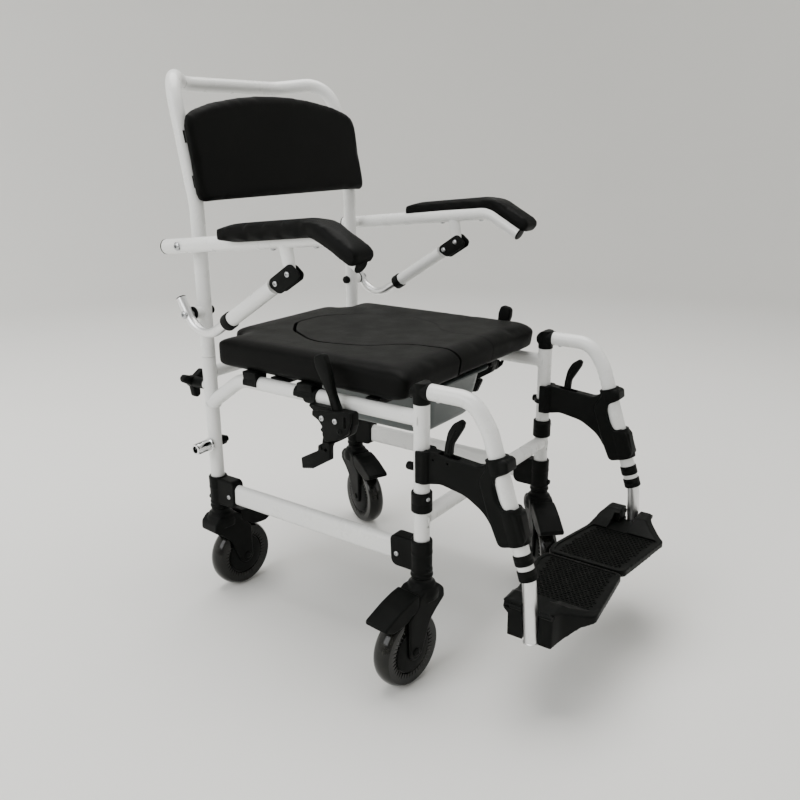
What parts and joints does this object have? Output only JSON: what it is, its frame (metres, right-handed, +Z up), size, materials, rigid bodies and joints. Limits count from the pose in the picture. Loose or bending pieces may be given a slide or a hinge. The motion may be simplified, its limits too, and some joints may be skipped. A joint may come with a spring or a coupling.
{
  "type": "commode transfer chair",
  "caption": "Wheeled commode chair with padded seat, lift-out cover and pan, flip-up arm rests, swing-away leg rests and braked swivel casters.",
  "frame": {"origin": "middle of the bounding box in X and Y, on the floor", "axes": "+Z up, the chair faces -Y, +X is the chair's own left side"},
  "size_m": [0.6044, 0.8524, 0.9575],
  "materials": {
    "white_powder_coat": "gloss powder coat",
    "black_moulded_nylon": "satin moulded",
    "black_skinned_foam": "skinned polyurethane foam",
    "black_wheel": "smooth",
    "bare_aluminium": "satin",
    "blue_grey_pan": "smooth"
  },
  "bodies": {
    "frame": {"front_cross_tube": "white_powder_coat", "rear_cross_tube": "white_powder_coat", "pan_carrier": "black_moulded_nylon", "side_frame_right": "white_powder_coat", "lower_rail_right": "white_powder_coat", "axle_sleeve_right": "bare_aluminium", "lock_bracket_right": "black_moulded_nylon", "side_frame_left": "white_powder_coat", "lower_rail_left": "white_powder_coat", "axle_sleeve_left": "bare_aluminium", "lock_bracket_left": "black_moulded_nylon", "caster_bracket_rear_right": "black_moulded_nylon", "caster_bracket_front_right": "black_moulded_nylon", "caster_bracket_rear_left": "black_moulded_nylon", "caster_bracket_front_left": "black_moulded_nylon"},
    "back": {"back_frame": "white_powder_coat", "backrest_pad": "black_skinned_foam"},
    "arm_right": {"arm_tube_right": "white_powder_coat", "arm_pad_right": "black_skinned_foam"},
    "strut_right": {"strut_tube_right": "white_powder_coat", "strut_joint_right": "black_moulded_nylon"},
    "rod_right": {"strut_rod_right": "bare_aluminium"},
    "leg_right": {"hanger_elbow_right": "black_moulded_nylon", "hanger_tube_right": "white_powder_coat", "hanger_bracket_right": "black_moulded_nylon"},
    "leg_release_right": {"release_lever_right": "black_moulded_nylon"},
    "extension_right": {"extension_tube_right": "bare_aluminium"},
    "foot_right": {"footplate_right": "black_moulded_nylon"},
    "lock_lever_body_right": {"lock_lever_right": "black_moulded_nylon"},
    "lock_shoe_body_right": {"lock_shoe_right": "black_moulded_nylon"},
    "knob_right": {"wing_knob_right": "black_moulded_nylon"},
    "arm_left": {"arm_tube_left": "white_powder_coat", "arm_pad_left": "black_skinned_foam"},
    "strut_left": {"strut_tube_left": "white_powder_coat", "strut_joint_left": "black_moulded_nylon"},
    "rod_left": {"strut_rod_left": "bare_aluminium"},
    "leg_left": {"hanger_elbow_left": "black_moulded_nylon", "hanger_tube_left": "white_powder_coat", "hanger_bracket_left": "black_moulded_nylon"},
    "leg_release_left": {"release_lever_left": "black_moulded_nylon"},
    "extension_left": {"extension_tube_left": "bare_aluminium"},
    "foot_left": {"footplate_left": "black_moulded_nylon"},
    "lock_lever_body_left": {"lock_lever_left": "black_moulded_nylon"},
    "lock_shoe_body_left": {"lock_shoe_left": "black_moulded_nylon"},
    "knob_left": {"wing_knob_left": "black_moulded_nylon"},
    "swivel_rear_right": {"caster_fork_rear_right": "black_moulded_nylon"},
    "wheel_rear_right": {"caster_wheel_rear_right": "black_wheel"},
    "pedal_rear_right": {"brake_pedal_rear_right": "black_moulded_nylon"},
    "swivel_front_right": {"caster_fork_front_right": "black_moulded_nylon"},
    "wheel_front_right": {"caster_wheel_front_right": "black_wheel"},
    "pedal_front_right": {"brake_pedal_front_right": "black_moulded_nylon"},
    "swivel_rear_left": {"caster_fork_rear_left": "black_moulded_nylon"},
    "wheel_rear_left": {"caster_wheel_rear_left": "black_wheel"},
    "pedal_rear_left": {"brake_pedal_rear_left": "black_moulded_nylon"},
    "swivel_front_left": {"caster_fork_front_left": "black_moulded_nylon"},
    "wheel_front_left": {"caster_wheel_front_left": "black_wheel"},
    "pedal_front_left": {"brake_pedal_front_left": "black_moulded_nylon"},
    "seat": {"seat_pad": "black_skinned_foam"},
    "cover": {"seat_cover": "black_skinned_foam"},
    "pan": {"commode_pan": "blue_grey_pan"}
  },
  "joints": [
    {"name": "back_frame_lift", "type": "slide", "parent": "frame", "child": "back", "axis": [0, 0, 1], "range_m": [0, 0.09]},
    {"name": "armrest_right", "type": "hinge", "parent": "back", "child": "arm_right", "pos_m": [-0.22479, 0.2997, 0.6713], "axis": [-1, 0, 0], "range_deg": [0, 80]},
    {"name": "strut_pivot_right", "type": "hinge", "parent": "arm_right", "child": "strut_right", "pos_m": [-0.22479, 0.0553, 0.6441], "axis": [-1, 0, 0], "range_deg": [-26, 1]},
    {"name": "rod_pivot_right", "type": "hinge", "parent": "back", "child": "rod_right", "pos_m": [-0.22479, 0.3012, 0.553], "axis": [-1, 0, 0], "range_deg": [-1, 57]},
    {"name": "leg_swing_right", "type": "hinge", "parent": "frame", "child": "leg_right", "pos_m": [-0.18909, -0.1656, 0.4635], "axis": [0, 0, -1], "range_deg": [0, 90]},
    {"name": "leg_release_lever_right", "type": "hinge", "parent": "leg_right", "child": "leg_release_right", "pos_m": [-0.18909, -0.2163, 0.3815], "axis": [1, 0, 0], "range_deg": [0, 12], "stiffness_Nm_per_rad": 0.3},
    {"name": "leg_length_right", "type": "slide", "parent": "leg_right", "child": "extension_right", "axis": [0, -0.312, -0.9501], "range_m": [0, 0.045]},
    {"name": "footplate_flip_right", "type": "hinge", "parent": "extension_right", "child": "foot_right", "pos_m": [-0.18909, -0.3581, 0.177], "axis": [0, -1, 0], "range_deg": [0, 84]},
    {"name": "wheel_lock_right", "type": "hinge", "parent": "frame", "child": "lock_lever_body_right", "pos_m": [-0.21999, -0.0383, 0.405], "axis": [1, 0, 0], "range_deg": [0, 33]},
    {"name": "wheel_lock_shoe_right", "type": "hinge", "parent": "frame", "child": "lock_shoe_body_right", "pos_m": [-0.21869, 0.0087, 0.366], "axis": [1, 0, 0], "range_deg": [0, 24]},
    {"name": "wing_knob_turn_right", "type": "hinge", "parent": "frame", "child": "knob_right", "pos_m": [-0.18909, 0.299, 0.4155], "axis": [0, 1, 0], "range_deg": [-180, 180]},
    {"name": "armrest_left", "type": "hinge", "parent": "back", "child": "arm_left", "pos_m": [0.26121, 0.2997, 0.6713], "axis": [-1, 0, 0], "range_deg": [0, 80]},
    {"name": "strut_pivot_left", "type": "hinge", "parent": "arm_left", "child": "strut_left", "pos_m": [0.26121, 0.0553, 0.6441], "axis": [-1, 0, 0], "range_deg": [-26, 1]},
    {"name": "rod_pivot_left", "type": "hinge", "parent": "back", "child": "rod_left", "pos_m": [0.26121, 0.3012, 0.553], "axis": [-1, 0, 0], "range_deg": [-1, 57]},
    {"name": "leg_swing_left", "type": "hinge", "parent": "frame", "child": "leg_left", "pos_m": [0.22551, -0.1656, 0.4635], "axis": [0, 0, 1], "range_deg": [0, 90]},
    {"name": "leg_release_lever_left", "type": "hinge", "parent": "leg_left", "child": "leg_release_left", "pos_m": [0.22551, -0.2163, 0.3815], "axis": [1, 0, 0], "range_deg": [0, 12], "stiffness_Nm_per_rad": 0.3},
    {"name": "leg_length_left", "type": "slide", "parent": "leg_left", "child": "extension_left", "axis": [0, -0.312, -0.9501], "range_m": [0, 0.045]},
    {"name": "footplate_flip_left", "type": "hinge", "parent": "extension_left", "child": "foot_left", "pos_m": [0.22551, -0.3581, 0.177], "axis": [0, 1, 0], "range_deg": [0, 84]},
    {"name": "wheel_lock_left", "type": "hinge", "parent": "frame", "child": "lock_lever_body_left", "pos_m": [0.25641, -0.0383, 0.405], "axis": [1, 0, 0], "range_deg": [-33, 0]},
    {"name": "wheel_lock_shoe_left", "type": "hinge", "parent": "frame", "child": "lock_shoe_body_left", "pos_m": [0.25511, 0.0087, 0.366], "axis": [1, 0, 0], "range_deg": [-24, 0]},
    {"name": "wing_knob_turn_left", "type": "hinge", "parent": "frame", "child": "knob_left", "pos_m": [0.22551, 0.299, 0.4155], "axis": [0, 1, 0], "range_deg": [-180, 180]},
    {"name": "caster_swivel_rear_right", "type": "hinge", "parent": "frame", "child": "swivel_rear_right", "pos_m": [-0.18909, 0.299, 0.175], "axis": [0, 0, 1], "continuous": true},
    {"name": "caster_wheel_spin_rear_right", "type": "hinge", "parent": "swivel_rear_right", "child": "wheel_rear_right", "pos_m": [-0.14985, 0.29543, 0.0635], "axis": [0.0906, 0.9959, 0], "continuous": true},
    {"name": "caster_brake_rear_right", "type": "hinge", "parent": "swivel_rear_right", "child": "pedal_rear_right", "pos_m": [-0.14726, 0.29519, 0.15], "axis": [0.0906, 0.9959, 0], "range_deg": [0, 10]},
    {"name": "caster_swivel_front_right", "type": "hinge", "parent": "frame", "child": "swivel_front_right", "pos_m": [-0.18909, -0.1656, 0.175], "axis": [0, 0, 1], "continuous": true},
    {"name": "caster_wheel_spin_front_right", "type": "hinge", "parent": "swivel_front_right", "child": "wheel_front_right", "pos_m": [-0.22819, -0.16073, 0.0635], "axis": [-0.1236, -0.9923, 0], "continuous": true},
    {"name": "caster_brake_front_right", "type": "hinge", "parent": "swivel_front_right", "child": "pedal_front_right", "pos_m": [-0.23077, -0.16041, 0.15], "axis": [-0.1236, -0.9923, 0], "range_deg": [0, 10]},
    {"name": "caster_swivel_rear_left", "type": "hinge", "parent": "frame", "child": "swivel_rear_left", "pos_m": [0.22551, 0.299, 0.175], "axis": [0, 0, 1], "continuous": true},
    {"name": "caster_wheel_spin_rear_left", "type": "hinge", "parent": "swivel_rear_left", "child": "wheel_rear_left", "pos_m": [0.20948, 0.26301, 0.0635], "axis": [0.9135, -0.4067, 0], "continuous": true},
    {"name": "caster_brake_rear_left", "type": "hinge", "parent": "swivel_rear_left", "child": "pedal_rear_left", "pos_m": [0.20843, 0.26063, 0.15], "axis": [0.9135, -0.4067, 0], "range_deg": [0, 10]},
    {"name": "caster_swivel_front_left", "type": "hinge", "parent": "frame", "child": "swivel_front_left", "pos_m": [0.22551, -0.1656, 0.175], "axis": [0, 0, 1], "continuous": true},
    {"name": "caster_wheel_spin_front_left", "type": "hinge", "parent": "swivel_front_left", "child": "wheel_front_left", "pos_m": [0.19591, -0.1916, 0.0635], "axis": [0.66, -0.7513, 0], "continuous": true},
    {"name": "caster_brake_front_left", "type": "hinge", "parent": "swivel_front_left", "child": "pedal_front_left", "pos_m": [0.19396, -0.19332, 0.15], "axis": [0.66, -0.7513, 0], "range_deg": [0, 10]},
    {"name": "seat_lift", "type": "slide", "parent": "frame", "child": "seat", "axis": [0, 0, 1], "range_m": [0, 0.08]},
    {"name": "seat_cover_lift", "type": "slide", "parent": "seat", "child": "cover", "axis": [0, 0, 1], "range_m": [0, 0.06]},
    {"name": "pan_slide", "type": "slide", "parent": "frame", "child": "pan", "axis": [0, -1, 0], "range_m": [0, 0.25]}
  ],
  "couplings": [
    {"joint": "strut_pivot_right", "follows": "armrest_right", "ratio": -0.31},
    {"joint": "rod_pivot_right", "follows": "armrest_right", "ratio": 0.69},
    {"joint": "wheel_lock_shoe_right", "follows": "wheel_lock_right", "ratio": 0.7},
    {"joint": "strut_pivot_left", "follows": "armrest_left", "ratio": -0.31},
    {"joint": "rod_pivot_left", "follows": "armrest_left", "ratio": 0.69},
    {"joint": "wheel_lock_shoe_left", "follows": "wheel_lock_left", "ratio": 0.7}
  ]
}
